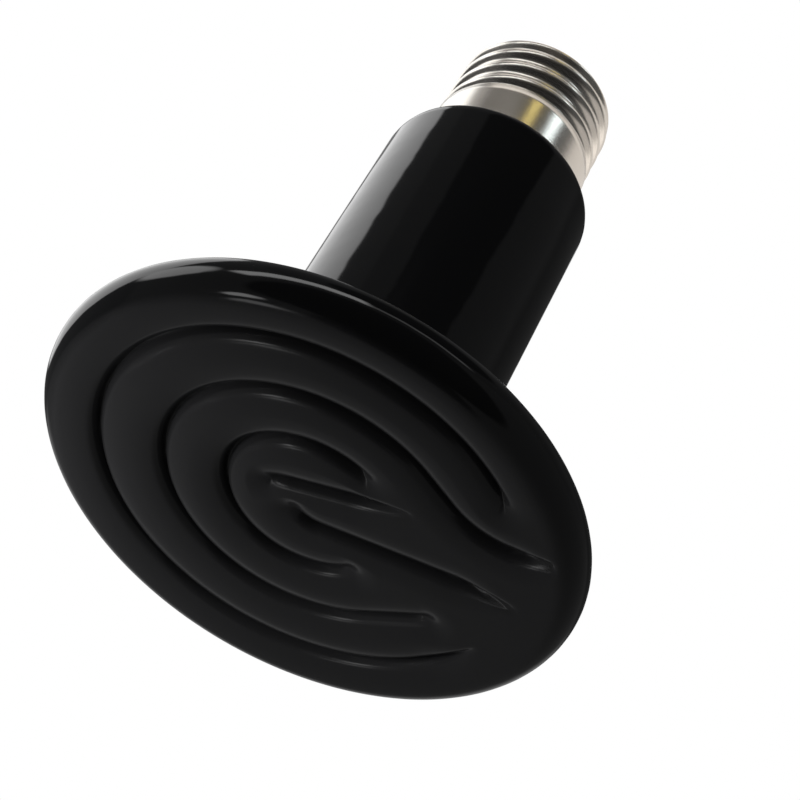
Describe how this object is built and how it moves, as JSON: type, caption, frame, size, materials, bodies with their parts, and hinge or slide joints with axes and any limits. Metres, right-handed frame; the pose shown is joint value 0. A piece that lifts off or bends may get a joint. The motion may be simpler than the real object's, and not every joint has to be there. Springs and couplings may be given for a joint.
{
  "type": "ceramic heat emitter",
  "caption": "Black glazed ceramic heat emitter: a disc with winding rounded ridges on its heating face, a plain round neck and a metal screw cap.",
  "frame": {"origin": "centre of the heating face, on the axis of the neck and cap, in the plane of the ridges' crests", "axes": "+Z along the axis from the heating face to the cap's centre contact; +X towards the edge of the disc from which the broad ridge runs in"},
  "size_m": [0.08, 0.08, 0.1016],
  "materials": {
    "glaze": "glossy black glaze",
    "shell": "nickel plating, satin collar and glossy thread",
    "cement": "matt",
    "insulator": "black glass",
    "contact": "satin",
    "solder": "dull tin",
    "wire": "drawn nickel wire",
    "sleeve": "matt"
  },
  "bodies": {
    "root": {"ceramic_body": "glaze", "screw_shell": "shell", "cap_cement": "cement", "cap_insulator": "insulator", "centre_contact": "contact", "contact_solder": "solder", "centre_lead": "wire", "lead_sleeve": "sleeve", "shell_lead": "wire"}
  },
  "joints": []
}
